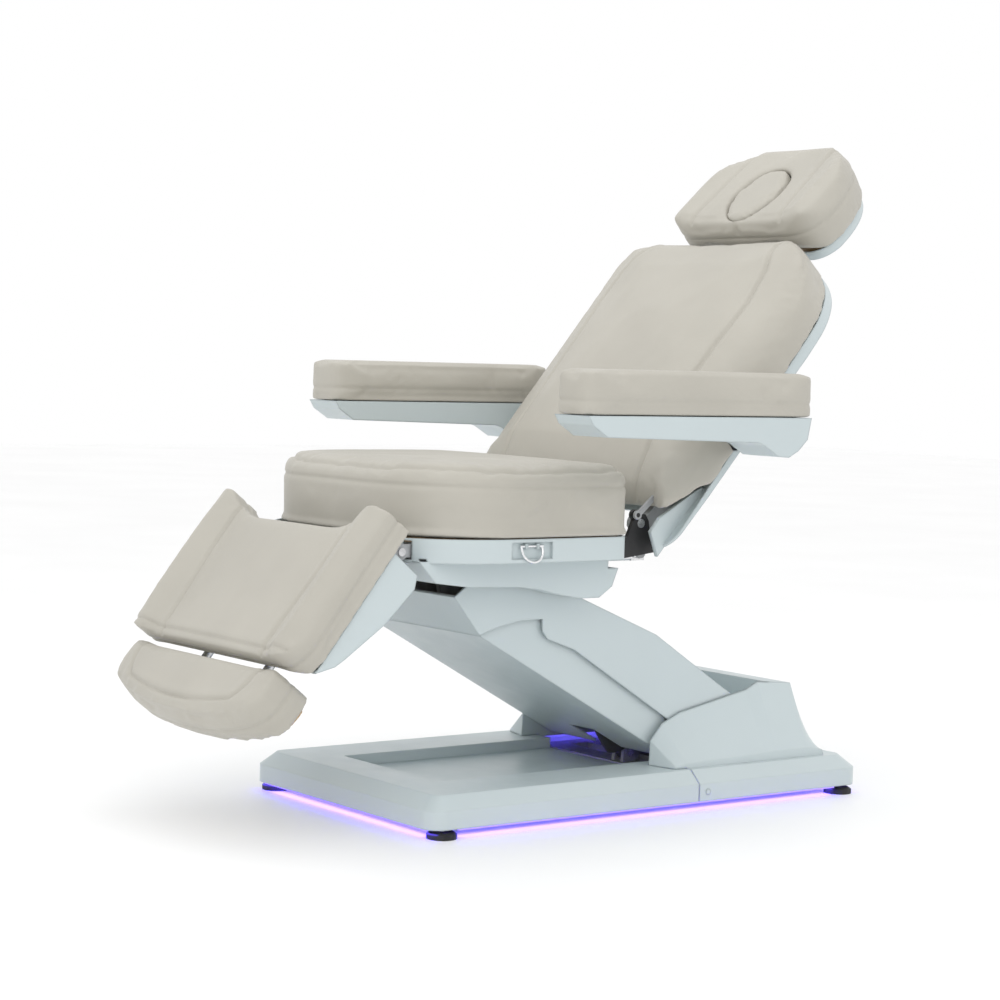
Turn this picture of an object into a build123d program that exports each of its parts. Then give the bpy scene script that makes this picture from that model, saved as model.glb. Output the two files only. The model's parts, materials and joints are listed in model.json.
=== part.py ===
from build123d import *
import math
import os

# Electric facial treatment bed, in millimetres, standing on the floor at z = 0.
# The client's feet point to -Y and the head to +Y. Side outlines are (y, z) points.
# Everything is drawn about the centre of the base, then moved by FRAME_SHIFT_Y so that
# the middle of the whole bed is at y = 0.
FRAME_SHIFT_Y = 108.5

# ---------------------------------------------------------------- driving dimensions
WALL = 4.0                    # moulded cover thickness
FIT = 0.05                    # radial clearance of every pivot
BASE_HALF_WIDTH = 285.0
BASE_HALF_LENGTH = 497.0
BASE_BOTTOM = 17.0
BASE_RIM = 49.0
BASE_TOP = 72.0
BASE_BEVEL = 25.0
BASE_CORNER = 34.0
COVER_SPLIT = 90.0
TRAY_HALF_WIDTH = 150.0
TRAY_FRONT = -330.0
TRAY_FLOOR = 52.0
FOOT_X = 262.0
FOOT_Y = 460.0
FOOT_RADIUS = 26.0
FOOT_HEIGHT = 12.0
SCREW_PLUG = (112.0, 34.0)
FRAME_LOW = 26.0
FRAME_HIGH = 46.0
WELL_HALF_WIDTH = 190.0
WELL_REAR = 340.0
CHEEK_FOOT_X = 248.0
CHEEK_STEEP_ABOVE = 110.0
CHEEK_FRONT = 45.0
SPLIT_GAP = 2.5

ARM_ANGLE = 29.0              # slope of the lift arm at its lowest position
ARM_LENGTH = 610.0
ARM_PIVOT = (275.0, 112.0)    # upper arm on the base
LINK_OFFSET = (-45.0, -45.0)  # from each upper pivot to the lower link's pivot
ARM_COVER_HALF = 186.0
LINK_COVER_HALF = 176.0
MAIN_SHAFT = 12.0
LINK_SHAFT = 8.0
ARM_TUBE = (98.0, 128.0)
LINK_BAR = (60.0, 85.0)
OUTER_PLATE = (132.0, 142.0)
INNER_PLATE = (44.0, 54.0)

LINK_COVER_DROP = 107.5       # underside of the lower cover, below the arm's axis
LIFT_CLEVIS = (150.0, 62.0)   # lift actuator on the base frame
LIFT_LUG_DISTANCE = 300.0     # its rod end along the arm from the arm pivot
ROD_PIN = 7.0
OPEN_EYE = 11.4               # eye of an actuator rod, opened around its pin

SEAT_BOTTOM = 500.0
SEAT_TOP = 617.0
SEAT_FRONT = -534.0
SEAT_REAR = -80.0
SEAT_HALF_WIDTH = 300.0
SEAT_FRONT_RADIUS = 200.0
BAND_LOW = 459.0
BAND_HALF_WIDTH = 290.0
BAND_FRONT = -546.0
BAND_REAR = -90.0
BAND_FRONT_RADIUS = 190.0
BOWL_HALF_WIDTH = 240.0
BOWL_GAP_HALF = 192.0
BOWL = [(-505, 462), (-470, 425), (-399, 416), (-297, 413), (-249, 407), (-204, 396),
        (-160, 389), (-119, 389), (-90, 408), (-72, 452), (-76, 462)]
RAIL = (242.0, 266.0)
RAIL_Z = (468.0, 492.0)
ACTUATOR_X = 213.0

BACK_PIVOT = (-30.0, 518.0)
BACK_ANGLE = 50.0
BACK_TOP = 666.0
BACK_HALF_WIDTH = 300.0
BACK_TOP_RADIUS = 180.0
BACK_CROWN = [(300.0, -61.0), (300.0, -4.0), (294.0, 9.0), (280.0, 24.0), (262.0, 36.0), (235.0, 44.0),
              (190.0, 54.0), (130.0, 62.0), (60.0, 67.0), (14.0, 69.0)]
BACK_POCKET_HALF = 262.0
BACK_PIN = 8.0
BACK_LEVER = (-16.5, 463.7)   # pin of the back actuator's lever
ROD_HEIGHT = 458.0            # back actuator axis
ARMREST_PIVOT = (145.0, 665.0)
LINK_ROD_OFFSET = (-12.9, 15.3)
ARMREST_SHAFT = 12.0

HEAD_PIVOT = (450.7, 1028.5)
HEAD_ANGLE = 42.0
HEAD_ROD_X = 80.0
HEAD_ROD = 8.0
HEAD_PIN = 6.0
HEAD_ROD_T = -40.0
HEAD_FACE = (443.0, 1135.0)   # centre of the headrest's front face
HEAD_THICKNESS = 88.0
HEAD_HALF_WIDTH = 204.0
HEAD_EDGES = (-88.0, 162.0)   # lower and upper edge along the headrest
HEAD_WING = 12.0              # height of the raised sides above the middle
HEAD_BOARD = 8.0
HEAD_SHELL_DEPTH = 18.0
FACE_HOLE = (62.0, 80.0)
PLUG_DEPTH = 55.0
PLUG_GAP = 0.6

KNEE_PIVOT = (-530.0, 478.0)
LEG_ANGLE = 52.0              # below the horizontal
KNEE_PIN = 7.0
LEG_LUG = (-534.0, 424.0)
LEG_CLEVIS = (-120.0, 440.0)
LEG_END = 282.0
LEG_PAD_HALF = 265.0
LEG_WING = -26.0
LEG_CORNER = 48.0
KNEE_GAP = 7.0                # between the seat pad and the leg pad when the leg rest is level
GUIDE_X = 100.0
GUIDE_T = 16.0
RAIL_RADIUS = 8.0
FOOT_START = 290.0
FOOT_END = 405.0
FOOT_HALF_WIDTH = 238.0

ARMREST_X = (334.0, 426.0)
ARMREST_PAD_X = (330.0, 430.0)
RING_Y = -307.0
RING_Z = 487.5
RING_X = 286.3
RING_HALF_WIDTH = 22.0
RING_WIRE = 2.5
RING_LEAN = 18.0              # outward lean of the hanging ring
POCKET_HALF = 43.0
POCKET_Z = (466.0, 494.0)


# ---------------------------------------------------------------- helpers
def prism(outline, x_low, x_high):
    """A side outline of (y, z) points, extruded from x_low to x_high."""
    face = make_face(Plane.YZ * Polyline(*outline, close=True))
    return Pos(x_low, 0, 0) * extrude(face, x_high - x_low, dir=(1, 0, 0))


def plate_stack(outline, z_low, z_high):
    """A plan outline of (x, y) points, extruded from z_low to z_high."""
    face = make_face(Polyline(*outline, close=True))
    return Pos(0, 0, z_low) * extrude(face, z_high - z_low, dir=(0, 0, 1))


def block(x, y, z):
    """A box between two x, two y and two z values."""
    centre = [(a[0] + a[1]) / 2 for a in (x, y, z)]
    return Pos(*centre) * Box(*[a[1] - a[0] for a in (x, y, z)])


def x_rod(point, x_low, x_high, radius):
    """A round bar along X through the side point (y, z)."""
    bar = Rot(0, 90, 0) * Cylinder(radius, x_high - x_low)
    return Pos((x_low + x_high) / 2, *point) * bar


def rod(start, end, radius):
    """A round bar between two points."""
    reach = Vector(*end) - Vector(*start)
    bar = Cylinder(radius, reach.length, align=(Align.CENTER, Align.CENTER, Align.MIN))
    return Plane(origin=start, z_dir=reach) * bar


def arc_points(centre, radius, first, last, steps):
    """Points of a circular arc, angles in degrees from +Y towards +Z."""
    turns = [math.radians(first + (last - first) * i / steps) for i in range(steps + 1)]
    return [(centre[0] + radius * math.cos(a), centre[1] + radius * math.sin(a)) for a in turns]


def both_sides(*shapes):
    """Each shape and its mirror image across the middle of the bed."""
    return [*shapes, *(mirror(shape, Plane.YZ) for shape in shapes)]


def shifted(point, offset):
    return (point[0] + offset[0], point[1] + offset[1])


def along_arm(distance, drop):
    """Side point at a distance from the arm pivot along the arm, dropped square to it."""
    turn = math.radians(ARM_ANGLE)
    y = ARM_PIVOT[0] - distance * math.cos(turn) - drop * math.sin(turn)
    return (y, ARM_PIVOT[1] + distance * math.sin(turn) - drop * math.cos(turn))


def rounded_plan(half_width, front, rear, front_radius, rear_radius):
    """A rectangle with its own corner radius at the front and at the rear."""
    hw, r1, r2 = half_width, front_radius, rear_radius
    right = [(hw, rear - r2), (hw, front + r1)]
    with BuildSketch() as sketch:
        with BuildLine():
            Line((hw - r2, rear), (-(hw - r2), rear))
            RadiusArc((-(hw - r2), rear), (-hw, rear - r2), -r2)
            Line((-hw, rear - r2), (-hw, front + r1))
            RadiusArc((-hw, front + r1), (-(hw - r1), front), -r1)
            Line((-(hw - r1), front), (hw - r1, front))
            RadiusArc((hw - r1, front), right[1], -r1)
            Line(right[1], right[0])
            RadiusArc(right[0], (hw - r2, rear), -r2)
        make_face()
    return sketch.sketch


def slab(half_width, front, rear, front_radius, rear_radius, z_low, z_high):
    """A rounded plan as a solid between two heights."""
    face = rounded_plan(half_width, front, rear, front_radius, rear_radius)
    return Pos(0, 0, z_low) * extrude(face, z_high - z_low, dir=(0, 0, 1))


def write(node, *shapes, frame=None):
    """Place the solids of one node and write its STEP file."""
    solids = []
    for shape in shapes:
        placed = frame.location * shape if frame else shape
        solids += (Pos(0, FRAME_SHIFT_Y, 0) * placed).solids()
    export_step(Compound(children=solids) if len(solids) > 1 else solids[0], f"parts/{node}.step")


LINK_PIVOT = shifted(ARM_PIVOT, LINK_OFFSET)
HEAD_END = along_arm(ARM_LENGTH, 0)
LINK_HEAD_END = shifted(HEAD_END, LINK_OFFSET)
LIFT_LUG = along_arm(LIFT_LUG_DISTANCE, 0)
BACK = Plane(origin=(0, *BACK_PIVOT), x_dir=(1, 0, 0),
             z_dir=(0, -math.sin(math.radians(BACK_ANGLE)), math.cos(math.radians(BACK_ANGLE))))
HEAD = Plane(origin=(0, *HEAD_FACE), x_dir=(1, 0, 0),
             z_dir=(0, -math.sin(math.radians(HEAD_ANGLE)), math.cos(math.radians(HEAD_ANGLE))))
LEG = Plane(origin=(0, *KNEE_PIVOT), x_dir=(-1, 0, 0),
            z_dir=(0, -math.sin(math.radians(LEG_ANGLE)), math.cos(math.radians(LEG_ANGLE))))


def in_back(point):
    """A side point of the bed as (along the back, out of the back)."""
    local = BACK.to_local_coords(Vector(0, *point))
    return (local.Y, local.Z)


# ---------------------------------------------------------------- base
def base_block(inset):
    """The low block of the base, with its bevelled rim, inset on every side."""
    half, length = BASE_HALF_WIDTH - inset, BASE_HALF_LENGTH - inset
    radius = BASE_CORNER - inset
    low = slab(half, -length, length, radius, radius, BASE_BOTTOM, BASE_RIM - inset / 2)
    rim = rounded_plan(half, -length, length, radius, radius)
    crown = rounded_plan(half - BASE_BEVEL, -(length - BASE_BEVEL), length - BASE_BEVEL,
                         radius - BASE_BEVEL / 2, radius - BASE_BEVEL / 2)
    bevel = loft([Pos(0, 0, BASE_RIM - inset / 2) * rim, Pos(0, 0, BASE_TOP - inset) * crown])
    return low + bevel


def cheek(inset):
    """One sloping side of the pedestal, outside +X of the arm well."""
    low = BASE_TOP - 12
    inner = [(50, low), (52, 118), (79, 148), (122, 166), (281, 198), (311, 212), (396, 204),
             (436, 90), (441, low)]
    outer = [(62, low), (66, 76), (90, 80), (130, 82), (285, 86), (311, 88), (392, 88),
             (430, 82), (438, low)]
    centre = (250, 120)
    steep = 4.5                   # the side wall is steep, so its inside starts lower

    def drawn(outline, x):
        moved = []
        for y, z in outline:
            y = y - inset if y > centre[0] else y + inset
            drop = steep * inset if z > CHEEK_STEEP_ABOVE else inset
            moved.append((y, z if z == low else z - drop))
        return Pos(x, 0, 0) * make_face(Plane.YZ * Polyline(*moved, close=True))

    faces = [drawn(inner, WELL_HALF_WIDTH + inset), drawn(outer, CHEEK_FOOT_X - inset)]
    return loft(faces, ruled=True)


def rear_hump(inset):
    """The cross wall of the pedestal behind the arm."""
    low = BASE_TOP - 12
    outline = [(WELL_REAR + inset, low), (WELL_REAR + inset, 208 - inset), (396 - inset, 204 - inset),
               (436 - inset, 90 - inset), (441 - inset, low)]
    reach = WELL_HALF_WIDTH - inset
    return prism(outline, -reach, reach)


def front_base_cover():
    side = TRAY_HALF_WIDTH
    front = block((-300, 300), (-500, COVER_SPLIT), (0, 90))
    tray = block((-side - WALL, side + WALL), (TRAY_FRONT - 60 - WALL, COVER_SPLIT),
                 (TRAY_FLOOR - WALL, BASE_TOP - 1))
    recess = prism([(TRAY_FRONT - 60, BASE_TOP + 1), (TRAY_FRONT, TRAY_FLOOR),
                    (COVER_SPLIT + 1, TRAY_FLOOR), (COVER_SPLIT + 1, BASE_TOP + 1)], -side, side)
    return (((base_block(0) - base_block(WALL)) & front) + tray) - recess


def rear_base_cover():
    rear = block((-300, 300), (COVER_SPLIT + SPLIT_GAP, 500), (0, 230))
    rear += block((-300, 300), (CHEEK_FRONT, 500), (BASE_TOP + 0.5, 230))
    outer = base_block(0) + both_sides(cheek(0)) + rear_hump(0)
    inner = base_block(WALL) + both_sides(cheek(WALL)) + rear_hump(WALL)
    well = block((-WELL_HALF_WIDTH, WELL_HALF_WIDTH), (0, WELL_REAR), (0, 230))
    cover = ((outer & rear) - inner) - well
    inlet = block((104, 136), (470, 500), (22, 46))
    return cover - inlet - x_rod(SCREW_PLUG, -300, 300, 4 + FIT)


def base_frame():
    z = (FRAME_LOW, FRAME_HIGH)
    rails = both_sides(block((200, 240), (-475, 475), z))
    cross = [block((-275, 275), (y - 18, y + 18), z) for y in (-FOOT_Y, FOOT_Y)]
    cross += [block((-200, 200), y, z) for y in ((125, 180), (225, 325))]
    arm_plate = prism([(238, 40), (312, 40), (ARM_PIVOT[0] + 26, ARM_PIVOT[1]),
                       (ARM_PIVOT[0] - 26, ARM_PIVOT[1])], *OUTER_PLATE)
    arm_plate += x_rod(ARM_PIVOT, *OUTER_PLATE, 26)
    link_plate = prism([(205, 46), (255, 46), (LINK_PIVOT[0] + 18, LINK_PIVOT[1]),
                        (LINK_PIVOT[0] - 18, LINK_PIVOT[1])], *INNER_PLATE)
    link_plate += x_rod(LINK_PIVOT, *INNER_PLATE, 18)
    link_floor = block((INNER_PLATE[0], INNER_PLATE[1]), (200, 240), z)
    clevis = prism([(134, 40), (166, 40), (164, 62), (136, 62)], 9, 17)
    clevis += x_rod(LIFT_CLEVIS, 9, 17, 14)
    frame = rails[0] + rails[1:] + cross + both_sides(arm_plate, link_plate, link_floor, clevis)
    frame -= x_rod(ARM_PIVOT, -200, 200, MAIN_SHAFT + FIT)
    frame -= x_rod(LINK_PIVOT, -200, 200, LINK_SHAFT + FIT)
    frame -= x_rod(LIFT_CLEVIS, -30, 30, ROD_PIN + FIT)
    stems = [Pos(x, y, FRAME_LOW) * Cylinder(5 + FIT, 30) for x in (-FOOT_X, FOOT_X)
             for y in (-FOOT_Y, FOOT_Y)]
    return frame - stems


def feet():
    places = [(x, y) for x in (-FOOT_X, FOOT_X) for y in (-FOOT_Y, FOOT_Y)]
    bottom = (Align.CENTER, Align.CENTER, Align.MIN)
    pads = [Pos(x, y, 0) * (Cylinder(FOOT_RADIUS, FOOT_HEIGHT - 4, align=bottom)
            + Pos(0, 0, FOOT_HEIGHT - 4) * Cone(FOOT_RADIUS, FOOT_RADIUS - 6, 4, align=bottom))
            for x, y in places]
    stems = [Pos(x, y, FOOT_HEIGHT) * Cylinder(5, 26, align=bottom) for x, y in places]
    nuts = [Pos(x, y, FRAME_LOW - 6) * (extrude(RegularPolygon(9, 6), 6) - Cylinder(5 + FIT, 20))
            for x, y in places]
    write("foot_pads", *pads)
    write("foot_stems", *stems)
    write("foot_lock_nuts", *nuts)


def light_strip():
    outer = slab(BASE_HALF_WIDTH - 8, 8 - BASE_HALF_LENGTH, BASE_HALF_LENGTH - 8, 26, 26, 13, 17)
    inner = slab(BASE_HALF_WIDTH - 16, 16 - BASE_HALF_LENGTH, BASE_HALF_LENGTH - 16, 18, 18, 12, 18)
    strip = outer - inner
    for x in (-FOOT_X, FOOT_X):
        for y in (-FOOT_Y, FOOT_Y):
            strip -= Pos(x, y, 15) * Cylinder(FOOT_RADIUS + 2, 10)
    return strip


def power_inlet():
    body = block((106, 134), (479, BASE_HALF_LENGTH - 0.5), (24, 44))
    body -= block((109, 131), (484, 500), (27, 41))
    contacts = [block((x - 1, x + 1), (482, 492), (31, 37)) for x in (113, 120, 127)]
    return [body + contacts]


def build_base():
    write("front_base_cover", front_base_cover())
    write("rear_base_cover", rear_base_cover())
    write("base_frame", base_frame())
    feet()
    write("light_strip", light_strip())
    write("power_inlet", *power_inlet())
    box = fillet(block((-100, 100), (350, 386), (50, 150)).edges().filter_by(Axis.Z), 6)
    write("control_box", box)
    pins = [x_rod(ARM_PIVOT, -150, 150, MAIN_SHAFT), x_rod(LIFT_CLEVIS, -20, 20, ROD_PIN)]
    pins += both_sides(x_rod(LINK_PIVOT, 42, 90, LINK_SHAFT))
    write("base_pivot_pins", *pins)
    plug = x_rod(SCREW_PLUG, BASE_HALF_WIDTH - WALL, BASE_HALF_WIDTH + 0.5, 4)
    plug += x_rod(SCREW_PLUG, BASE_HALF_WIDTH, BASE_HALF_WIDTH + 1.2, 6)
    write("cover_screw_plugs", *both_sides(plug))


# ---------------------------------------------------------------- lift
def arm_bar(first, last, half_height, x_low, x_high):
    """A flat bar along the arm between two distances from the arm pivot."""
    outline = [along_arm(first, -half_height), along_arm(last, -half_height),
               along_arm(last, half_height), along_arm(first, half_height)]
    return prism(outline, x_low, x_high)


def lift_arm_frame():
    tube = arm_bar(0, ARM_LENGTH, 24, *ARM_TUBE)
    tube += x_rod(ARM_PIVOT, *ARM_TUBE, 28) + x_rod(HEAD_END, *ARM_TUBE, 25)
    frame = both_sides(tube)
    cross = [arm_bar(s - 15, s + 15, 20, -ARM_TUBE[0], ARM_TUBE[0]) for s in (120, 345, 500)]
    lug = arm_bar(LIFT_LUG_DISTANCE, 331, 13, 9, 17) + x_rod(LIFT_LUG, 9, 17, 14)
    frame = frame[0] + frame[1:] + cross + both_sides(lug)
    frame -= x_rod(ARM_PIVOT, -200, 200, MAIN_SHAFT + FIT)
    frame -= x_rod(HEAD_END, -200, 200, MAIN_SHAFT + FIT)
    return frame + x_rod(LIFT_LUG, -17, 17, ROD_PIN)


def upper_arm_cover():
    nose = [(-336, 326), (-392, 394), (-330, 440), (-258, 460), (-200, 430), (-139, 393)]
    top = [(-64, 362), (62, 310), (217, 211)]
    heel = arc_points(ARM_PIVOT, 55, 50, -110, 12)
    under = [(165, 112), (122, 137), (-126, 291), (-187, 313), (-199, 328), (-200, 349),
             (-250, 348), (-300, 338)]
    outer = prism(nose + top + heel + under, -ARM_COVER_HALF, ARM_COVER_HALF)
    hollow = [(-331.5, 329), (-388, 397.5), (-400, 480), (-185, 480), (-185, 415), (-141, 388),
              (-66, 357), (60, 305), (212, 207)]
    hollow += arc_points(ARM_PIVOT, 50, 50, -6, 5) + [(340, 106), (340, 40), (200, 40), (-331.5, 200)]
    inside = ARM_COVER_HALF - WALL
    return outer - prism(hollow, -inside, inside)


def on_cover(y, drop):
    """The point at a given y on a line that runs at a drop below the arm's axis."""
    turn = math.radians(ARM_ANGLE)
    return along_arm((ARM_PIVOT[0] - y - drop * math.sin(turn)) / math.cos(turn), drop)


def lower_arm_cover():
    drop = LINK_COVER_DROP
    outline = [on_cover(-327, drop), on_cover(112, drop), on_cover(112, drop - 52),
               on_cover(40, drop - 85), on_cover(-300, drop - 85), on_cover(-327, drop - 61)]
    floor = drop - WALL
    hollow = [on_cover(-345, floor), on_cover(140, floor), on_cover(140, -200), on_cover(-345, -200)]
    inside = LINK_COVER_HALF - WALL
    cover = prism(outline, -LINK_COVER_HALF, LINK_COVER_HALF) - prism(hollow, -inside, inside)
    return cover - block((-38, 38), (45, 120), (60, 135))


def lower_links():
    bar = prism([shifted(LINK_PIVOT, (8, 14)), shifted(LINK_HEAD_END, (8, 14)),
                 shifted(LINK_HEAD_END, (-8, -14)), shifted(LINK_PIVOT, (-8, -14))], *LINK_BAR)
    bar += x_rod(LINK_PIVOT, *LINK_BAR, 19) + x_rod(LINK_HEAD_END, *LINK_BAR, 19)

    def standoff(s):
        floor = LINK_COVER_DROP - WALL
        return [along_arm(s - 15, 62), along_arm(s + 15, 62), along_arm(s + 15, floor),
                along_arm(s - 15, floor)]

    bar += prism(standoff(200), *LINK_BAR)
    links = both_sides(bar)
    body = links[0] + links[1:] + prism(standoff(490), -LINK_BAR[1], LINK_BAR[1])
    body -= x_rod(LINK_PIVOT, -200, 200, LINK_SHAFT + FIT)
    return body - x_rod(LINK_HEAD_END, -200, 200, LINK_SHAFT + FIT)


def actuator(start, end, x, sizes):
    """The motor housing with its outer tube, and the rod, of an actuator between two side points."""
    reach = math.hypot(end[0] - start[0], end[1] - start[1])
    direction = ((end[0] - start[0]) / reach, (end[1] - start[1]) / reach)

    def at(distance):
        return (x, start[0] + direction[0] * distance, start[1] + direction[1] * distance)

    motor_radius, motor_end, tube_radius, tube_end, rod_radius, rod_start = sizes
    motor = rod(at(22), at(motor_end), motor_radius) + rod(at(motor_end), at(tube_end), tube_radius)
    motor += rod(at(0), at(24), 6.5) + x_rod(start, x - 7, x + 7, 13)
    motor -= x_rod(start, x - 10, x + 10, ROD_PIN + FIT)
    motor -= rod(at(rod_start - 40), at(tube_end + 1), rod_radius + FIT)
    shaft = rod(at(rod_start), at(reach - 12), rod_radius) + x_rod(end, x - 7, x + 7, 17)
    return motor, shaft - x_rod(end, x - 10, x + 10, OPEN_EYE)


def build_lift():
    write("lift_arm_frame", lift_arm_frame())
    write("upper_arm_cover", upper_arm_cover())
    write("lower_arm_cover", lower_arm_cover())
    write("lower_links", lower_links())
    motor, shaft = actuator(LIFT_CLEVIS, LIFT_LUG, 0, (30, 112, 20, 206, 9, 118))
    write("lift_motor", motor)
    write("lift_rod", shaft)


# ---------------------------------------------------------------- seat
def seat_frame():
    rails = both_sides(block(RAIL, (-425, -100), RAIL_Z))
    reach = RAIL[0]
    cross = [block((-RAIL[1], RAIL[1]), (-425, -400), RAIL_Z),
             block((-reach, reach), (-138, -100), (480, 492)),
             block((-reach, reach), (-350, -190), (478, 488))]
    hanger = prism([(-305, 480), (-212, 480), (HEAD_END[0] + 22, HEAD_END[1]),
                    (HEAD_END[0] - 22, HEAD_END[1])], *OUTER_PLATE)
    hanger += x_rod(HEAD_END, *OUTER_PLATE, 22)
    link_hanger = prism([(-348, 480), (-285, 480), (LINK_HEAD_END[0] + 18, LINK_HEAD_END[1]),
                         (LINK_HEAD_END[0] - 18, LINK_HEAD_END[1])], *INNER_PLATE)
    link_hanger += x_rod(LINK_HEAD_END, *INNER_PLATE, 18)
    x = -ACTUATOR_X
    ears = [block(span, (-138, -100), (430, 484)) for span in ((x - 16, x - 8), (x + 8, x + 16))]
    frame = rails[0] + rails[1:] + cross + ears + both_sides(hanger, link_hanger)
    frame += x_rod(LEG_CLEVIS, x - 16, x + 16, ROD_PIN)
    frame -= x_rod(HEAD_END, -200, 200, MAIN_SHAFT + FIT)
    return frame - x_rod(LINK_HEAD_END, -200, 200, LINK_SHAFT + FIT)


def seat_shell():
    band = slab(BAND_HALF_WIDTH, BAND_FRONT, BAND_REAR, BAND_FRONT_RADIUS, 30, BAND_LOW, SEAT_BOTTOM)
    band_hollow = slab(BAND_HALF_WIDTH - WALL, BAND_FRONT + WALL, BAND_REAR - WALL,
                       BAND_FRONT_RADIUS - WALL, 26, BAND_LOW + WALL, SEAT_BOTTOM + 1)
    bowl = prism(BOWL, -BOWL_HALF_WIDTH, BOWL_HALF_WIDTH)
    inner = [(-498, 466), (-468, 430), (-399, 420), (-297, 417), (-249, 411), (-204, 400),
             (-160, 393), (-120, 393), (-94, 411), (-77, 452), (-94, 466)]
    bowl_hollow = prism(inner, -BOWL_HALF_WIDTH + WALL, BOWL_HALF_WIDTH - WALL)
    gap = block((-BOWL_GAP_HALF, BOWL_GAP_HALF), (-450, -60), (380, 440))
    rear_slots = both_sides(block((194, 246), (-100, -60), (440, 490)))
    knee_slots = both_sides(block((203, 217), (-545, -440), (464, 496)))
    rod_slot = block((-233, -193), (-520, -320), (405, 458))
    pocket = block((284, 295), (RING_Y - POCKET_HALF, RING_Y + POCKET_HALF), POCKET_Z)
    shell = band + bowl - band_hollow - bowl_hollow - gap - rear_slots - knee_slots
    return shell - rod_slot - pocket


def seat_cushion():
    pad = slab(SEAT_HALF_WIDTH, SEAT_FRONT, SEAT_REAR, SEAT_FRONT_RADIUS, 45, SEAT_BOTTOM, SEAT_TOP)
    return fillet(pad.faces().sort_by(Axis.Z)[-1].edges(), 28)


def back_hinge_plate():
    """The black side plate that carries the backrest, with its long foot on the seat rail."""
    outline = [(-180, 470), (-108, 466), (-66, 457), (4, 466), (-8, 500), (-12, 522), (-20, 534), (-40, 534),
               (-48, 520), (-60, 495), (-96, 479), (-180, 479)]
    pin = shifted(BACK_PIVOT, LINK_ROD_OFFSET)
    plate = prism(outline, 234, 242) + x_rod(pin, 234, 242, 9) + x_rod(pin, 240, 250, 4)
    return plate - x_rod(BACK_PIVOT, 230, 246, BACK_PIN + FIT)


def knee_bracket():
    plate = block((206, 214), (KNEE_PIVOT[0], -425), (468, 490)) + x_rod(KNEE_PIVOT, 206, 214, 14)
    return plate - x_rod(KNEE_PIVOT, 200, 220, KNEE_PIN + FIT)


def ring_plate():
    """The recessed pocket behind the ring, with the two lugs that hold its straight bar."""
    inner = BAND_HALF_WIDTH - WALL
    plate = block((inner - 6, inner), (RING_Y - POCKET_HALF - 4, RING_Y + POCKET_HALF + 4),
                  (BAND_LOW + WALL, SEAT_BOTTOM - 2))
    plate -= block((inner - 3, inner + 1), (RING_Y - POCKET_HALF, RING_Y + POCKET_HALF), POCKET_Z)
    lugs = [block((inner - 3, inner + 3.6), (y - 3, y + 3), (RING_Z - 4.5, RING_Z + 4.5))
            for y in (RING_Y - 12, RING_Y + 12)]
    plate += lugs
    return plate - Pos(RING_X, RING_Y, RING_Z) * Rot(90, 0, 0) * Cylinder(RING_WIRE + 0.1, 40)


def d_ring():
    """A closed D of round wire: a straight bar through the lugs and a loop hanging outside."""
    loop = Torus(RING_HALF_WIDTH, RING_WIRE) & block((0, 40), (-40, 40), (-5, 5))
    legs = [rod((-0.1, y, 0), (6, y, 0), RING_WIRE) for y in (-RING_HALF_WIDTH, RING_HALF_WIDTH)]
    bar = rod((0, -RING_HALF_WIDTH - RING_WIRE, 0), (0, RING_HALF_WIDTH + RING_WIRE, 0), RING_WIRE)
    ring = Pos(6, 0, 0) * loop + legs + bar
    return Pos(RING_X, RING_Y, RING_Z) * Rot(0, 90 - RING_LEAN, 0) * ring


def back_actuator():
    """The fixed tube under the seat and the rod whose slotted end drives the back lever."""
    x, z = ACTUATOR_X, ROD_HEIGHT
    tube = rod((x, -392, z), (x, -290, z), 18) + rod((x, -290, z), (x, -150, z), 14)
    tube += block((x - 8, RAIL[0]), (-392, -380), (464, 490))
    tube -= rod((x, -340, z), (x, -140, z), 8 + FIT)
    end = block((x - 7, x + 7), (BACK_LEVER[0] - 15, BACK_LEVER[0] + 15), (450, 485))
    slot = block((x - 9, x + 9), (BACK_LEVER[0] - 8, BACK_LEVER[0] + 8), (455.5, 479.5))
    shaft = rod((x, -250, z), (x, BACK_LEVER[0] - 14, z), 8) + end - slot
    return tube, shaft


def build_seat():
    write("seat_frame", seat_frame())
    write("seat_shell", seat_shell())
    write("seat_board", slab(275, -520, -98, 180, 24, 492, SEAT_BOTTOM))
    write("seat_cushion", seat_cushion())
    write("back_hinge_plates", *both_sides(back_hinge_plate()))
    write("knee_brackets", *both_sides(knee_bracket()))
    pins = [x_rod(HEAD_END, -146, 146, MAIN_SHAFT)]
    pins += both_sides(x_rod(LINK_HEAD_END, 42, 90, LINK_SHAFT))
    write("seat_pivot_pins", *pins)
    write("back_hinge_pins", *both_sides(x_rod(BACK_PIVOT, 220, 243, BACK_PIN)))
    write("knee_hinge_pins", *both_sides(x_rod(KNEE_PIVOT, 203, 226, KNEE_PIN)))
    write("ring_plate", ring_plate())
    write("d_ring", d_ring())
    tube, shaft = back_actuator()
    write("back_motor", tube)
    write("back_rod", shaft)
    motor, shaft = actuator(LEG_CLEVIS, LEG_LUG, -ACTUATOR_X, (17, 120, 13, 330, 8, 200))
    write("leg_motor", motor)
    write("leg_rod", shaft)


# ---------------------------------------------------------------- backrest and armrests
def back_plan(half_width, low, top, radius, z_low, z_high):
    """The outline of the backrest in its own plane, wide below and rounded at the top."""
    face = rounded_plan(half_width, low, top, 45, radius)
    return Pos(0, 0, z_low) * extrude(face, z_high - z_low, dir=(0, 0, 1))


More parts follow.
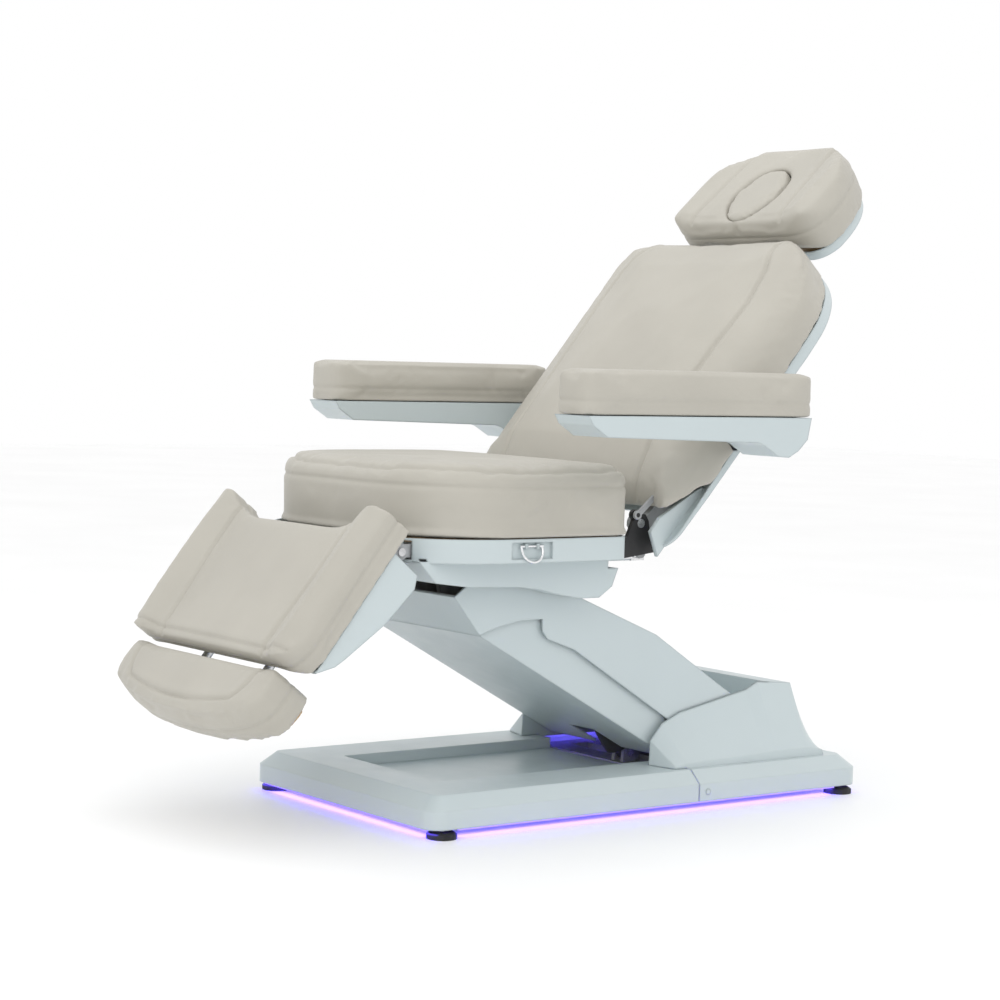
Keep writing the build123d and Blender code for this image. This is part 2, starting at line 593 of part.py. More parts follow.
def back_frame():
    """The steel frame of the backrest, with its hinge lugs and the actuator's lever and pin."""
    side = block((200, 230), (10, 600), (-42, -14))
    lug = prism([(-14, 10), (-16, -8), (0, -14), (30, -42), (60, -42), (60, -14), (24, -10), (14, 8)],
                222, 230)
    lug += x_rod((0, 0), 222, 230, 16)
    bearing = x_rod(in_back(ARMREST_PIVOT), 200, 232, 16)
    frame = both_sides(side, lug, bearing)
    cross = [block((-200, 200), y, (-42, -20)) for y in ((90, 115), (440, 465), (575, 600))]
    top = BACK_TOP - 16
    guides = both_sides(rod((HEAD_ROD_X, 450, HEAD_ROD_T), (HEAD_ROD_X, top, HEAD_ROD_T), 12))
    y, z = in_back(BACK_LEVER)
    outer = [(-14, 6), (14, -8), (y + 9, z - 4), (y - 9, z - 4)]
    inner = [(y - 9, z), (y, z - 9), (36, -40), (60, -40), (60, -20), (20, -20)]
    lever = [prism(outer, 222, 230) + x_rod((y, z), 222, 230, 9),
             prism(inner, 196, 202) + x_rod((y, z), 196, 202, 9), x_rod((y, z), 196, 230, 5)]
    frame = frame[0] + frame[1:] + cross + guides + lever
    frame -= x_rod((0, 0), -240, 240, BACK_PIN + FIT)
    frame -= both_sides(x_rod(in_back(ARMREST_PIVOT), 202, 240, ARMREST_SHAFT + FIT))
    bore = rod((HEAD_ROD_X, 440, HEAD_ROD_T), (HEAD_ROD_X, BACK_TOP, HEAD_ROD_T), HEAD_ROD + FIT)
    return frame - both_sides(bore)


def back_shell():
    """The thin rear shell of the backrest, with a cheek beside each hinge."""
    top, side, radius = BACK_TOP - 4, BACK_HALF_WIDTH - 10, BACK_TOP_RADIUS - 10
    line = [(-10, -50), (115, -57), (211, -60), (449, -70), (590, -69), (top, -60)]
    outer = prism(line + [(top, -46), (-10, -46)], -side, side)
    outer &= back_plan(side, -20, top, radius, -90, 0)
    inner = prism([(y, t + WALL) for y, t in line] + [(top, -40), (-10, -40)], -side, side)
    inner &= back_plan(side - WALL, -16, top - WALL, radius - WALL, -90, 0)
    cheek_line = [(-33, -50), (-10, -8), (22, -8), (105, -39), (125, -48), (125, -57), (0, -51)]
    throat = block((-252, 252), (-40, 62), (-70, -30))
    shafts = both_sides(x_rod(in_back(ARMREST_PIVOT), 270, 300, 16))
    rods = both_sides(rod((HEAD_ROD_X, 600, HEAD_ROD_T), (HEAD_ROD_X, 720, HEAD_ROD_T), 11))
    return outer - inner - throat - shafts - rods + both_sides(prism(cheek_line, 262, 270))


def crowned(right_side, length):
    """A long bar whose section rises from both edges to the middle, to cut a cushion's crown."""
    outline = right_side + [(-x, z) for x, z in reversed(right_side)]
    face = make_face(Plane.XZ * Polyline(*outline, close=True))
    return extrude(face, length, dir=(0, 1, 0))


def back_cushion():
    side = [(24, -5), (24, 2), (60, 24), (96, 36), (145, 50), (280, 60), (440, 68), (560, 60),
            (620, 46), (650, 28), (BACK_TOP, 0), (BACK_TOP, -45), (130, -45), (108, -35)]
    pad = prism(side, -BACK_HALF_WIDTH, BACK_HALF_WIDTH)
    pad &= back_plan(BACK_HALF_WIDTH, 20, BACK_TOP, BACK_TOP_RADIUS, -60, 90)
    pad &= crowned(BACK_CROWN, 700)
    pocket = prism([(0, -60), (0, -8), (610, -8), (610, -60)], -BACK_POCKET_HALF, BACK_POCKET_HALF)
    pocket &= back_plan(BACK_POCKET_HALF, -80, 610, 60, -70, 0)
    rods = both_sides(block((240, 260), (0, 195), (-10, 32)))
    neck = block((-100, 100), (600, BACK_TOP + 10), (-60, -22))
    shafts = both_sides(x_rod(in_back(ARMREST_PIVOT), 240, 320, 16))
    return pad - pocket - rods - neck - shafts


def armrest_crank():
    """The shaft that carries one armrest, with the crank that the level link drives."""
    low = shifted(ARMREST_PIVOT, LINK_ROD_OFFSET)
    shaft = x_rod(ARMREST_PIVOT, 203, 352, ARMREST_SHAFT)
    web = prism([shifted(ARMREST_PIVOT, (-9, -8)), shifted(ARMREST_PIVOT, (9, 8)),
                 shifted(low, (6, 5)), shifted(low, (-6, -5))], 251, 256)
    web += x_rod(low, 251, 256, 8) + x_rod(ARMREST_PIVOT, 251, 256, 16)
    return shaft + web + x_rod(low, 243.5, 252, 4)


def level_rod():
    """The flat rod beside the backrest that keeps one armrest level."""
    low, high = shifted(BACK_PIVOT, LINK_ROD_OFFSET), shifted(ARMREST_PIVOT, LINK_ROD_OFFSET)
    bar = prism([shifted(low, (3, -3.6)), shifted(high, (3, -3.6)), shifted(high, (-3, 3.6)),
                 shifted(low, (-3, 3.6))], 244.5, 249.5)
    bar += x_rod(low, 244.5, 249.5, 8) + x_rod(high, 244.5, 249.5, 8)
    return bar - x_rod(low, 240, 252, 4 + FIT) - x_rod(high, 240, 252, 4 + FIT)


def armrest_shell():
    outline = [(-304, 713), (-294, 697), (-262, 677), (75, 669), (90, 664), (123, 645), (148, 643),
               (171, 655), (192, 675), (200, 713)]
    hollow = [(-299, 716), (-290, 700), (-260, 682), (76, 674), (93, 669), (124, 650), (147, 648),
              (167, 659), (187, 677), (195, 716)]
    low, high = ARMREST_X
    shell = prism(outline, low, high) - prism(hollow, low + WALL, high - WALL)
    return shell - x_rod(ARMREST_PIVOT, low - 1, low + WALL + 1, 16)


def armrest_bar():
    hub = x_rod(ARMREST_PIVOT, 331, 360, 15)
    bar = prism([(-262, 690), (120, 690), (140, 684), (140, 700), (-262, 704)], 345, 360)
    bar += prism([(120, 700), (120, 690), (138, 672), (152, 672), (156, 700)], 345, 360)
    rests = [block((345, 405), y, (696, 713)) for y in ((-252, -224), (-100, -72), (60, 88))]
    return hub + bar + rests - x_rod(ARMREST_PIVOT, 325, 353, ARMREST_SHAFT + FIT)


def armrest_cushion():
    pad = block(ARMREST_PAD_X, (-308, 208), (713, 787))
    return fillet(pad.edges().filter_by(Axis.Z), 24)


def build_back():
    write("back_frame", back_frame(), frame=BACK)
    write("back_shell", back_shell(), frame=BACK)
    write("back_cushion", back_cushion(), frame=BACK)
    write("armrest_level_rods", *both_sides(level_rod()))
    for name, part in (("crank", armrest_crank()), ("shell", armrest_shell()),
                       ("bar", armrest_bar()), ("cushion", armrest_cushion())):
        write(f"armrest_{name}_right", part)
        write(f"armrest_{name}_left", mirror(part, Plane.YZ))


# ---------------------------------------------------------------- headrest
def head_plan(grow, z_low, z_high):
    """The outline of the headrest in its own plane: a flat lower edge and an arched top."""
    bottom, top = HEAD_EDGES
    face = rounded_plan(HEAD_HALF_WIDTH + grow, bottom - grow, top + grow, 60 + grow, 180 + grow)
    return Pos(0, 0, z_low) * extrude(face, z_high - z_low, dir=(0, 0, 1))


def oval(half_x, half_y, z_low, z_high):
    return Pos(0, 0, z_low) * extrude(Ellipse(half_x, half_y), z_high - z_low, dir=(0, 0, 1))


def in_head(point):
    local = HEAD.to_local_coords(Vector(0, *point))
    return (local.Y, local.Z)


def rod_notches():
    """The room around the two headrest rods at the lower rear edge of the headrest."""
    y, z = in_head(HEAD_PIVOT)
    return both_sides(block((HEAD_ROD_X - 13, HEAD_ROD_X + 32), (-130, y + 18), (-130, z + 20)))


def head_cushion():
    half, wing, low = HEAD_HALF_WIDTH, HEAD_WING, -HEAD_THICKNESS
    section = [(half, low), (half, wing - 32), (half - 12, wing - 8), (half - 34, wing),
               (half - 56, wing - 6), (half - 84, 0)]
    outline = section + [(-x, z) for x, z in reversed(section)]
    bottom, top = HEAD_EDGES
    pad = extrude(make_face(Plane.XZ * Polyline(*outline, close=True)), 400, both=True)
    pad &= head_plan(0, low, wing + 1)
    pad &= prism([(bottom + 24, low), (bottom, low + 24), (bottom, -10), (bottom + 8, 8),
                  (bottom + 30, wing), (top - 60, wing), (top - 18, 2), (top, -24), (top, low)],
                 -half - 1, half + 1)
    pad -= oval(*FACE_HOLE, -PLUG_DEPTH, 1) + oval(50, 68, -130, 1)
    return pad - rod_notches()


def head_board():
    board = head_plan(-26, -HEAD_THICKNESS - HEAD_BOARD, -HEAD_THICKNESS) - oval(50, 68, -130, 1)
    return board - rod_notches()


def head_shell():
    rear = -HEAD_THICKNESS - HEAD_SHELL_DEPTH
    shell = head_plan(-12, rear, -HEAD_THICKNESS)
    shell -= head_plan(-12 - WALL, rear + WALL, -HEAD_THICKNESS + 1)
    return shell - oval(50, 68, -130, 1) - rod_notches()


def head_bracket():
    """One ear around the tilt pin, with a flange on the rear of the headrest board."""
    y, z = in_head(HEAD_PIVOT)
    rear = -HEAD_THICKNESS - HEAD_BOARD
    ear = prism([(y - 9, z - 4), (y + 9, z + 9), (y + 17, rear + 4), (y + 17, rear), (y + 50, rear),
                 (y + 50, rear - 4), (y + 2, rear - 4)], HEAD_ROD_X + 12, HEAD_ROD_X + 20)
    ear += x_rod((y, z), HEAD_ROD_X + 12, HEAD_ROD_X + 20, 11)
    flange = block((HEAD_ROD_X + 12, HEAD_ROD_X + 34), (y + 19, y + 60), (rear - 4, rear))
    return ear + flange - x_rod((y, z), HEAD_ROD_X, HEAD_ROD_X + 40, HEAD_PIN + FIT)


def head_rod():
    """One round headrest rod, its top turned outward as the tilt pin."""
    end = in_back(HEAD_PIVOT)
    bar = rod((HEAD_ROD_X, 470, HEAD_ROD_T), (HEAD_ROD_X, end[0], HEAD_ROD_T), HEAD_ROD)
    bar += x_rod(end, HEAD_ROD_X - HEAD_ROD, HEAD_ROD_X + HEAD_ROD + 3, HEAD_ROD)
    return bar + x_rod(end, HEAD_ROD_X, HEAD_ROD_X + 23, HEAD_PIN)


def build_head():
    write("headrest_cushion", head_cushion(), frame=HEAD)
    write("headrest_board", head_board(), frame=HEAD)
    write("headrest_shell", head_shell(), frame=HEAD)
    write("headrest_brackets", *both_sides(head_bracket()), frame=HEAD)
    plug = oval(FACE_HOLE[0] - PLUG_GAP, FACE_HOLE[1] - PLUG_GAP, PLUG_GAP - PLUG_DEPTH, 0)
    write("face_hole_plug", plug, frame=HEAD)
    write("headrest_rods", *both_sides(head_rod()), frame=BACK)


# ---------------------------------------------------------------- leg rest and foot rest
def leg_frame():
    lug = prism([(0, -12), (12, -10), (60, 4), (60, 24), (-4, 12)], 216, 224)
    lug += x_rod((0, 0), 216, 224, 13)
    lug -= x_rod((0, 0), 200, 230, KNEE_PIN + FIT)
    side = prism([(46, 4), (204, 4), (222, 7), (222, 26), (46, 26)], 200, 224)
    frame = both_sides(lug, side)
    cross = [block((-200, 200), y, (7, 26)) for y in ((70, 90), (200, 222))]
    y, z = in_leg(LEG_LUG)
    lever = [x_rod((y, z), ACTUATOR_X - 15, ACTUATOR_X + 15, ROD_PIN)]
    for x in ((ACTUATOR_X - 15, ACTUATOR_X - 9), (ACTUATOR_X + 9, ACTUATOR_X + 15)):
        lever.append(prism([(y - 9, z), (y + 9, z), (y + 24, 5), (y + 2, 5)], *x))
        lever.append(x_rod((y, z), *x, 9))
    guides = both_sides(rod((GUIDE_X, 70, GUIDE_T), (GUIDE_X, 224, GUIDE_T), 9.9))
    frame = frame[0] + frame[1:] + cross + guides + lever
    bore = rod((GUIDE_X, 40, GUIDE_T), (GUIDE_X, 260, GUIDE_T), RAIL_RADIUS + FIT)
    return frame - both_sides(bore)


def in_leg(point):
    local = LEG.to_local_coords(Vector(0, *point))
    return (local.Y, local.Z)


def leg_shell():
    side = LEG_PAD_HALF - 10
    line = [(20, 28), (22, -32), (43, -42), (123, -31), (211, -4), (232, 4), (262, 28)]
    inner = [(24, 32), (26, -29), (44, -37.5), (122, -27), (209, 0), (230, 8), (254, 27), (255, 32)]
    shell = prism(line, -side, side) - prism(inner, WALL - side, side - WALL)
    shell -= block((-205, 205), (0, 34), (-50, 40))
    shell -= both_sides(block((194, 232), (0, 34), (-50, 40)))
    shell -= block((ACTUATOR_X - 20, ACTUATOR_X + 20), (0, 80), (-60, -20))
    return shell - both_sides(block((GUIDE_X - 11, GUIDE_X + 11), (225, 270), (2, 40)))


def leg_cushion():
    """The leg pad: raised wings beside a flat middle, with a knee hollow that clears the seat pad."""
    half, low = LEG_PAD_HALF, 28
    section = [(half, low), (half, 84), (half - 14, 100), (half - 36, 106), (half - 58, 98),
               (half - 84, 82)]
    outline = section + [(-x, z) for x, z in reversed(section)]
    face = make_face(Plane.XZ * Polyline(*outline, close=True))
    pad = Pos(0, LEG_WING, 0) * extrude(face, LEG_END - LEG_WING, dir=(0, 1, 0))
    seat_edge = KNEE_PIVOT[0] - SEAT_FRONT + KNEE_GAP
    knee = slab(SEAT_HALF_WIDTH + KNEE_GAP, -450, seat_edge, 40, SEAT_FRONT_RADIUS + KNEE_GAP, -50, 300)
    far = prism([(LEG_END - 14, low), (LEG_END, low + 24), (LEG_END, 150), (LEG_END + 20, 150),
                 (LEG_END + 20, low)], -half, half)
    corners = slab(half, -60, LEG_END, 10, LEG_CORNER, -60, 200)
    return (pad - knee - far) & corners


def foot_plan(inset, z_low, z_high):
    """The D outline of the foot rest: a straight edge towards the leg and a bowed far edge."""
    half, bow, start = FOOT_HALF_WIDTH - inset, FOOT_END - inset, FOOT_START + inset
    side = [(half - 12, start), (half, start + 12), (half, bow - 66), (half - 4, bow - 50),
            (half - 17, bow - 34), (half - 50, bow - 23), (half - 110, bow - 9), (half - 170, bow - 3)]
    outline = side + [(0, bow)] + [(-x, y) for x, y in reversed(side)]
    return plate_stack(outline, z_low, z_high)


def foot_cushion():
    pad = foot_plan(0, -4, 80)
    channels = both_sides(block((GUIDE_X - 12, GUIDE_X + 12), (FOOT_START - 5, 345), (-10, 28)))
    return pad - channels - block((-140, 140), (300, 362), (-10, 8))


def foot_rails():
    """The two foot rest rails, each welded to a saddle on one cross plate."""
    rail = rod((GUIDE_X, 62, GUIDE_T), (GUIDE_X, 340, GUIDE_T), RAIL_RADIUS)
    saddle = block((GUIDE_X - 6, GUIDE_X + 6), (302, 338), (2, GUIDE_T - 3))
    half = rail + saddle
    return block((-138, 138), (302, 360), (-4, 8)) + both_sides(half)


def build_leg():
    write("leg_frame", leg_frame(), frame=LEG)
    write("leg_shell", leg_shell(), frame=LEG)
    write("leg_cushion", leg_cushion(), frame=LEG)
    write("foot_rails", foot_rails(), frame=LEG)
    write("foot_board", foot_plan(14, -10, -4), frame=LEG)
    write("foot_cushion", foot_cushion(), frame=LEG)


os.makedirs("parts", exist_ok=True)
build_base()
build_lift()
build_seat()
build_back()
build_head()
build_leg()
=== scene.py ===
"""Looks of the facial treatment bed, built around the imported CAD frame. Lengths are in metres."""
import json
import math
import bmesh
import bpy
import numpy as np
from mathutils import Matrix, Vector


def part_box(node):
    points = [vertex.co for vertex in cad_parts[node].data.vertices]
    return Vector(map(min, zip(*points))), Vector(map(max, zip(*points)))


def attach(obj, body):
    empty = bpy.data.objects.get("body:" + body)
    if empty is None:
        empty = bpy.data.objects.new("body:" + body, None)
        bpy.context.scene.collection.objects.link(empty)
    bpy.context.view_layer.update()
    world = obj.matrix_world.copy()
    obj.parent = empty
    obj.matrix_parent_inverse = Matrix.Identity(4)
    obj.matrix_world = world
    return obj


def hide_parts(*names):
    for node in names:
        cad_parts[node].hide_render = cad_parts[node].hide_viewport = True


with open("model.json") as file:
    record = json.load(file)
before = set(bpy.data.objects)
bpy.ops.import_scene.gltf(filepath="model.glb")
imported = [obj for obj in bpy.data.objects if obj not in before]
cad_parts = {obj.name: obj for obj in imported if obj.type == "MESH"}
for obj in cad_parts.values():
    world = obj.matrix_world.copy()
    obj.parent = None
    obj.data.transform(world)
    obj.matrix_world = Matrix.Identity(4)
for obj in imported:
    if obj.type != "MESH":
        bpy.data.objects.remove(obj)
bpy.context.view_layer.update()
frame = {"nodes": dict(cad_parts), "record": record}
record = frame["record"]
joints = {joint["name"]: joint for joint in record["behaviour"]["joints"]}
body_of_node = {}
for body_name, body_nodes in record["behaviour"]["bodies"].items():
    for body_node in body_nodes:
        body_of_node[body_node] = body_name

# Camera: turn and height of the line of sight, roll, distance and lens.
CAMERA_TURN = math.radians(53.08)
CAMERA_HEIGHT = math.radians(3.38)
CAMERA_ROLL = math.radians(1.65)
CAMERA_DISTANCE = 4.75
CAMERA_LENS = 88.9
SENSOR_WIDTH = 36.0
AIM_SIDE = -0.2147
AIM_HEIGHT = 0.5296
CAD_AIM_Y = 0.1085                # the aim point is this far along +Y from the frame's centre

# Cushions.
VOXEL = 0.006
WELD_GAP = 0.00002
PRESSURE = 4.0
CLOTH_STRETCH = 12.0
CLOTH_BENDING = 0.6
CLOTH_QUALITY = 4
SIM_FRAMES = 20
ROUNDING_STEPS = 8
STILL_DEPTH = 0.012               # the swelling fades out over this depth above the underside
SEAM_WIDTH = 0.0035
SEAM_DEPTH = 0.0042

# Backrest seams, in the plane of the backrest: metres across and up from the hinge.
BACK_SEAM = [(0.200, -0.02), (0.204, 0.13), (0.202, 0.25), (0.206, 0.38),
             (0.214, 0.47), (0.206, 0.55), (0.180, 0.63)]
# The cover over each level rod channel: side outline along and out, then its reach across.
BACK_BRIDGE = ([(0.026, -0.004), (0.026, 0.001), (0.060, 0.022), (0.096, 0.034), (0.118, 0.040),
                (0.122, 0.030), (0.096, 0.024), (0.064, 0.010), (0.040, -0.004)], 0.234, 0.266)
# Seams of the leg rest and the headrest, in the plane of each cushion.
LEG_SEAM = [(0.182, -0.05), (0.178, 0.10), (0.168, 0.21), (0.164, 0.30)]
HEAD_SEAM = [(0.128, -0.12), (0.118, 0.02), (0.112, 0.10), (0.098, 0.20)]
# Rounding of the moulded covers' edges, as the light shows it.
MOULDED_EDGE = 0.005
BEVEL_SAMPLES = 6

# Violet spill lights under the base: strip width, and watts along the sides and the ends.
STRIP_WIDTH = 0.02
SIDE_SPILL = 0.8
END_SPILL = 0.45

# Studio: half the floor's side, its slight glow, and the watts of the two lights.
FLOOR_REACH = 14.0
FLOOR_GLOW = 0.07
KEY_POWER = 26.0
TOP_POWER = 16.0


# ---------------------------------------------------------------- materials
def new_material(name, colour, roughness, metallic=0.0):
    material = bpy.data.materials.new(name)
    material.use_nodes = True
    shader = material.node_tree.nodes["Principled BSDF"]
    shader.inputs["Base Color"].default_value = (*colour, 1.0)
    shader.inputs["Roughness"].default_value = roughness
    shader.inputs["Metallic"].default_value = metallic
    return material, shader


def noise(material, scale, detail=3.0, stretch=(1.0, 1.0, 1.0)):
    """A noise texture fixed to the object, so it moves with the piece."""
    nodes = material.node_tree.nodes
    links = material.node_tree.links
    place = nodes.new("ShaderNodeTexCoord")
    mapping = nodes.new("ShaderNodeMapping")
    mapping.inputs["Scale"].default_value = stretch
    texture = nodes.new("ShaderNodeTexNoise")
    texture.inputs["Scale"].default_value = scale
    texture.inputs["Detail"].default_value = detail
    links.new(place.outputs["Object"], mapping.inputs["Vector"])
    links.new(mapping.outputs["Vector"], texture.inputs["Vector"])
    return texture.outputs["Fac"]


def cells(material, scale):
    """Leather-like cells: the distance to the edge of each cell."""
    nodes = material.node_tree.nodes
    links = material.node_tree.links
    place = nodes.new("ShaderNodeTexCoord")
    texture = nodes.new("ShaderNodeTexVoronoi")
    texture.feature = "DISTANCE_TO_EDGE"
    texture.inputs["Scale"].default_value = scale
    links.new(place.outputs["Object"], texture.inputs["Vector"])
    return texture.outputs["Distance"]


def spread(material, source, low, high):
    """The source, 0.3 to 0.7, mapped onto low to high."""
    node = material.node_tree.nodes.new("ShaderNodeMapRange")
    node.inputs["From Min"].default_value = 0.3
    node.inputs["From Max"].default_value = 0.7
    node.inputs["To Min"].default_value = low
    node.inputs["To Max"].default_value = high
    material.node_tree.links.new(source, node.inputs["Value"])
    return node.outputs["Result"]


def two_tone(material, shader, source, dark, light):
    """Colour that drifts between two close tones."""
    drift = material.node_tree.nodes.new("ShaderNodeValToRGB")
    first, last = drift.color_ramp.elements
    first.position = 0.35
    first.color = (*dark, 1.0)
    last.position = 0.65
    last.color = (*light, 1.0)
    material.node_tree.links.new(source, drift.inputs["Fac"])
    material.node_tree.links.new(drift.outputs["Color"], shader.inputs["Base Color"])


def bump(material, shader, heights, edge=0.0):
    """Stacks bumps, each a (source, distance in metres) pair, finest last, over rounded edges."""
    nodes = material.node_tree.nodes
    links = material.node_tree.links
    normal = None
    if edge:
        rounded = nodes.new("ShaderNodeBevel")
        rounded.samples = BEVEL_SAMPLES
        rounded.inputs["Radius"].default_value = edge
        normal = rounded.outputs["Normal"]
    for source, distance in heights:
        node = nodes.new("ShaderNodeBump")
        node.inputs["Strength"].default_value = 1.0
        node.inputs["Distance"].default_value = distance
        links.new(source, node.inputs["Height"])
        if normal is not None:
            links.new(normal, node.inputs["Normal"])
        normal = node.outputs["Normal"]
    links.new(normal, shader.inputs["Normal"])


def tones(colour, amount):
    """A darker and a lighter tone on each side of a colour."""
    dark = tuple(value * (1.0 - amount) for value in colour)
    light = tuple(min(1.0, value * (1.0 + amount)) for value in colour)
    return dark, light


def leather(name, colour, soil=0.035):
    material, shader = new_material(name, colour, 0.46)
    two_tone(material, shader, noise(material, 5.0, 4.0), *tones(colour, soil))
    links = material.node_tree.links
    links.new(spread(material, noise(material, 14.0), 0.40, 0.54), shader.inputs["Roughness"])
    shader.inputs["Sheen Weight"].default_value = 0.08
    shader.inputs["Sheen Roughness"].default_value = 0.4
    bump(material, shader, [(noise(material, 9.0, 2.0), 0.0035), (cells(material, 620.0), 0.00035),
                            (noise(material, 1900.0), 0.00012)])
    return material


def moulded(name, colour, roughness, grain=0.00006):
    material, shader = new_material(name, colour, roughness)
    two_tone(material, shader, noise(material, 3.0), *tones(colour, 0.02))
    links = material.node_tree.links
    links.new(spread(material, noise(material, 22.0, 5.0), roughness - 0.05, roughness + 0.07),
              shader.inputs["Roughness"])
    shader.inputs["Coat Weight"].default_value = 0.12
    shader.inputs["Coat Roughness"].default_value = 0.25
    bump(material, shader, [(noise(material, 5.0, 1.0), 0.0012), (noise(material, 1400.0), grain)],
         MOULDED_EDGE)
    return material


def painted(name, colour, roughness):
    material, shader = new_material(name, colour, roughness)
    two_tone(material, shader, noise(material, 18.0, 5.0), *tones(colour, 0.12))
    links = material.node_tree.links
    links.new(spread(material, noise(material, 60.0), roughness - 0.08, roughness + 0.1),
              shader.inputs["Roughness"])
    bump(material, shader, [(noise(material, 900.0), 0.00012)])
    return material


def metal(name, colour, roughness, stretch):
    material, shader = new_material(name, colour, roughness, 1.0)
    two_tone(material, shader, noise(material, 120.0, 4.0, stretch), *tones(colour, 0.08))
    links = material.node_tree.links
    brushed = noise(material, 420.0, 4.0, stretch)
    links.new(spread(material, brushed, roughness * 0.75, roughness * 1.3), shader.inputs["Roughness"])
    bump(material, shader, [(brushed, 0.00003)])
    return material


def plywood(name):
    light = (0.56, 0.40, 0.24)
    material, shader = new_material(name, light, 0.6)
    grain = noise(material, 16.0, 8.0, (1.0, 9.0, 14.0))
    two_tone(material, shader, grain, (0.36, 0.23, 0.12), light)
    material.node_tree.links.new(spread(material, grain, 0.5, 0.72), shader.inputs["Roughness"])
    bump(material, shader, [(grain, 0.0003)])
    return material


def rubber(name):
    material, shader = new_material(name, (0.016, 0.016, 0.017), 0.7)
    two_tone(material, shader, noise(material, 40.0), (0.012, 0.012, 0.013), (0.028, 0.028, 0.029))
    uneven = spread(material, noise(material, 90.0), 0.55, 0.8)
    material.node_tree.links.new(uneven, shader.inputs["Roughness"])
    bump(material, shader, [(noise(material, 700.0), 0.00025)])
    return material


def glow(name, colour, strength):
    """The violet light strip: a lit diffuser with slightly uneven brightness."""
    material, shader = new_material(name, tuple(0.5 + 0.4 * value for value in colour), 0.4)
    shader.inputs["Emission Color"].default_value = (*colour, 1.0)
    uneven = spread(material, noise(material, 26.0), strength * 0.85, strength * 1.15)
    material.node_tree.links.new(uneven, shader.inputs["Emission Strength"])
    bump(material, shader, [(noise(material, 500.0), 0.0001)])
    return material


CREAM = (0.470, 0.450, 0.396)
SHELL_WHITE = (0.545, 0.615, 0.630)
STRIP_VIOLET = (0.20, 0.070, 0.95)
SPILL_VIOLET = (0.115, 0.070, 1.0)
slots = {
    "upholstery": leather("upholstery_leather", CREAM),
    "cover_plastic": moulded("cover_moulded_plastic", SHELL_WHITE, 0.36),
    "frame_steel": painted("frame_grey_paint", (0.36, 0.37, 0.38), 0.42),
    "black_plate": painted("black_powder_coat", (0.014, 0.014, 0.015), 0.5),
    "pin_steel": metal("brushed_pin_steel", (0.60, 0.60, 0.61), 0.3, (12.0, 1.0, 1.0)),
    "actuator_body": moulded("actuator_housing", (0.03, 0.03, 0.032), 0.5, 0.0002),
    "actuator_rod": metal("actuator_rod_aluminium", (0.74, 0.74, 0.75), 0.22, (1.0, 6.0, 1.0)),
    "plywood": plywood("birch_plywood"),
    "foot_rubber": rubber("black_foot_rubber"),
    "light": glow("violet_light_strip", STRIP_VIOLET, 1.1),
    "dark_plastic": moulded("dark_moulded_plastic", (0.035, 0.036, 0.04), 0.45, 0.00015),
    "chrome_wire": metal("polished_chrome", (0.82, 0.83, 0.84), 0.09, (3.0, 3.0, 3.0)),
}


def finish_cad_nodes():
    """Gives every CAD node the material of its slot."""
    for row in record["subparts"]:
        obj = frame["nodes"][row["node"]]
        material = slots[row["material_slot"]]
        obj.data.materials.clear()
        obj.data.materials.append(material)


# ---------------------------------------------------------------- cushions
def apply_modifiers(obj):
    """Replaces the object's mesh by the one its modifiers make."""
    depsgraph = bpy.context.evaluated_depsgraph_get()
    mesh = bpy.data.meshes.new_from_object(obj.evaluated_get(depsgraph))
    old = obj.data
    obj.modifiers.clear()
    obj.data = mesh
    bpy.data.meshes.remove(old)


def points_of(mesh):
    flat = np.empty(len(mesh.vertices) * 3)
    mesh.vertices.foreach_get("co", flat)
    return flat.reshape(-1, 3)


def normals_of(mesh):
    flat = np.empty(len(mesh.vertices) * 3)
    mesh.vertex_normals.foreach_get("vector", flat)
    return flat.reshape(-1, 3)


def set_points(mesh, points):
    mesh.vertices.foreach_set("co", points.reshape(-1))
    mesh.update()


def ramp(values, start, end):
    """0 below start and 1 above end, with a smooth step between."""
    share = np.clip((values - start) / (end - start), 0.0, 1.0)
    return share * share * (3.0 - 2.0 * share)


class Plane:
    """A cushion's own axes: across, along and out of the cushion."""

    def __init__(self, origin, along, out):
        self.origin = np.array(origin)
        self.across = np.array((1.0, 0.0, 0.0))
        self.along = np.array(along)
        self.out = np.array(out)

    def local(self, points):
        offset = points - self.origin
        return offset @ self.across, offset @ self.along, offset @ self.out

    def place(self, across, along, out):
        return self.origin + self.across * across + self.along * along + self.out * out


def path_distance(across, along, path):
    """How far each point is from a line through the path's points, in the cushion's plane."""
    nearest = np.full(len(across), 9.0)
    for (x0, s0), (x1, s1) in zip(path, path[1:]):
        dx, ds = x1 - x0, s1 - s0
        share = np.clip(((across - x0) * dx + (along - s0) * ds) / (dx * dx + ds * ds), 0.0, 1.0)
        nearest = np.minimum(nearest, np.hypot(across - x0 - share * dx, along - s0 - share * ds))
    return nearest


def outline_distance(across, along, half_width, low, high, low_radius, high_radius):
    """Signed distance to a rounded rectangle, negative inside, with its own radius at each end."""
    middle = (low + high) / 2
    radius = np.where(along > middle, high_radius, low_radius)
    side = np.abs(across) - half_width + radius
    end = np.abs(along - middle) - (high - low) / 2 + radius
    outside = np.hypot(np.maximum(side, 0.0), np.maximum(end, 0.0))
    return outside + np.minimum(np.maximum(side, end), 0.0) - radius


def seam(distance, mask, depth=SEAM_DEPTH, width=SEAM_WIDTH):
    """How far a seam pulls the cover in: a narrow groove with a soft lip on each side."""
    groove = depth * np.exp(-(distance / width) ** 2)
    lip = 0.28 * depth * np.exp(-((distance - 3.0 * width) / (2.2 * width)) ** 2)
    return (groove - lip) * mask


pads = []


